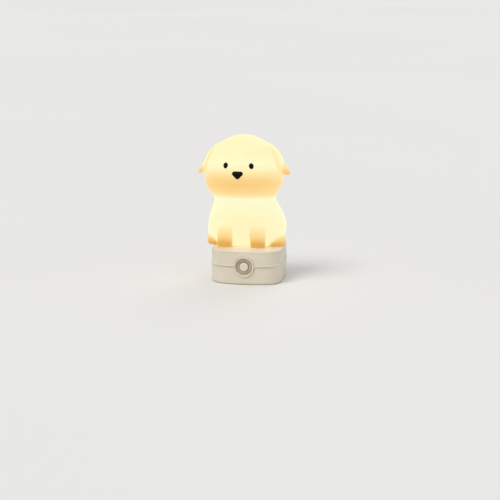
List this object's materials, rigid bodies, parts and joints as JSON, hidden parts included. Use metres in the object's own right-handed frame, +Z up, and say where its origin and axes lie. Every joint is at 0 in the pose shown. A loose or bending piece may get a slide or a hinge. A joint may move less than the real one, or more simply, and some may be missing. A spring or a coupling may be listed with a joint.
{
  "type": "plug in night light",
  "caption": "Sitting puppy night light: hollow silicone figure on a small D-plan base with two mains blades and a front push button in a light sensor ring.",
  "frame": {"origin": "centre of the back face that rests on the outlet, midway between the two blades", "axes": "+Y into the outlet along the blades, +Z up towards the puppy's head, +X to the right as seen from the front"},
  "size_m": [0.044, 0.0487, 0.0709],
  "materials": {
    "case_white": "satin white moulded plastic",
    "block_white": "matte white insulating plastic",
    "blade_metal": "nickel plated brass",
    "window_milky": "milky translucent plastic",
    "part_black": "black moulded case",
    "board_green": "solder masked board",
    "board_white": "white board",
    "capacitor_ochre": "dipped epoxy",
    "resistor_blue": "flameproof lacquer",
    "led_yellow": "warm phosphor",
    "diffuser_frost": "frosted",
    "wire_white": "vinyl insulation",
    "wire_black": "vinyl insulation",
    "wire_red": "vinyl insulation",
    "screw_steel": "zinc plated steel",
    "silicone_warm": "soft translucent silicone, warm lit",
    "face_black": "glossy black"
  },
  "bodies": {
    "base": {"upper_case": "case_white", "lower_case": "case_white", "top_cover": "case_white", "blade_block": "block_white", "neutral_blade": "blade_metal", "line_blade": "blade_metal", "bezel_ring": "case_white", "sensor_lens_ring": "window_milky", "tact_switch": "part_black", "sensor_board": "board_green", "photocell": "window_milky", "main_board": "board_green", "film_capacitor": "capacitor_ochre", "electrolytic_capacitor": "part_black", "bridge_rectifier": "part_black", "fusible_resistor": "resistor_blue", "driver_chip": "part_black", "led_board": "board_white", "leds": "led_yellow", "inner_diffuser": "diffuser_frost", "neutral_wire": "wire_white", "line_wire": "wire_black", "led_wires": "wire_red", "sensor_wires": "wire_red", "case_screws": "screw_steel"},
    "shade": {"puppy_shade": "silicone_warm", "eye_left": "face_black", "eye_right": "face_black", "nose": "face_black"},
    "button": {"mode_button": "case_white", "tact_plunger": "part_black"}
  },
  "joints": [
    {"name": "button_press", "type": "slide", "parent": "base", "child": "button", "axis": [0, 1, 0], "range_m": [0, 0.0005], "stiffness_N_per_m": 500},
    {"name": "shade_lift", "type": "slide", "parent": "base", "child": "shade", "axis": [0, 0, 1], "range_m": [0, 0.05]}
  ]
}
